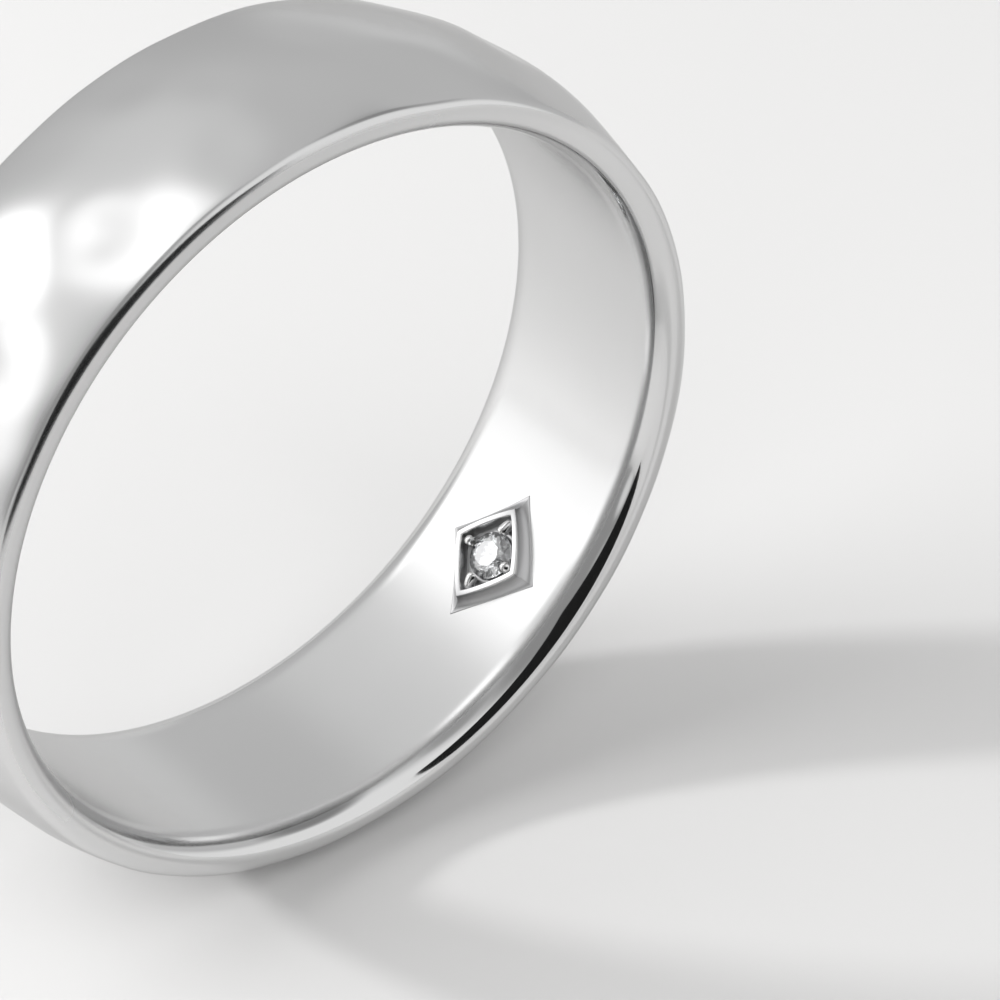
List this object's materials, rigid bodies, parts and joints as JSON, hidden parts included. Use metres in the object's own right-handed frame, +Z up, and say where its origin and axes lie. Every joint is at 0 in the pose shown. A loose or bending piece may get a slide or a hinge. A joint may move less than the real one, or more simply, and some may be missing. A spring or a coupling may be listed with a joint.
{
  "type": "wedding band",
  "caption": "Plain domed finger ring with eased inner edges and a small raised lozenge setting on its inner face that holds a round stone in claws.",
  "frame": {"origin": "centre of the finger opening, on the band's axis and midway between its two side faces", "axes": "+Y along the band's axis, -Y is the front face, +Z up with the band standing on its rim, +X to the right seen from the front"},
  "size_m": [0.0206, 0.0056, 0.0206],
  "materials": {
    "band_metal": "polished white gold, softly hammered outside",
    "setting_metal": "polished white gold",
    "claw_metal": "polished white gold",
    "stone": "clear brilliant-cut diamond"
  },
  "bodies": {
    "root": {"band": "band_metal", "lozenge_setting": "setting_metal", "claw_front": "claw_metal", "claw_back": "claw_metal", "claw_upper": "claw_metal", "claw_lower": "claw_metal", "diamond": "stone"}
  },
  "joints": []
}
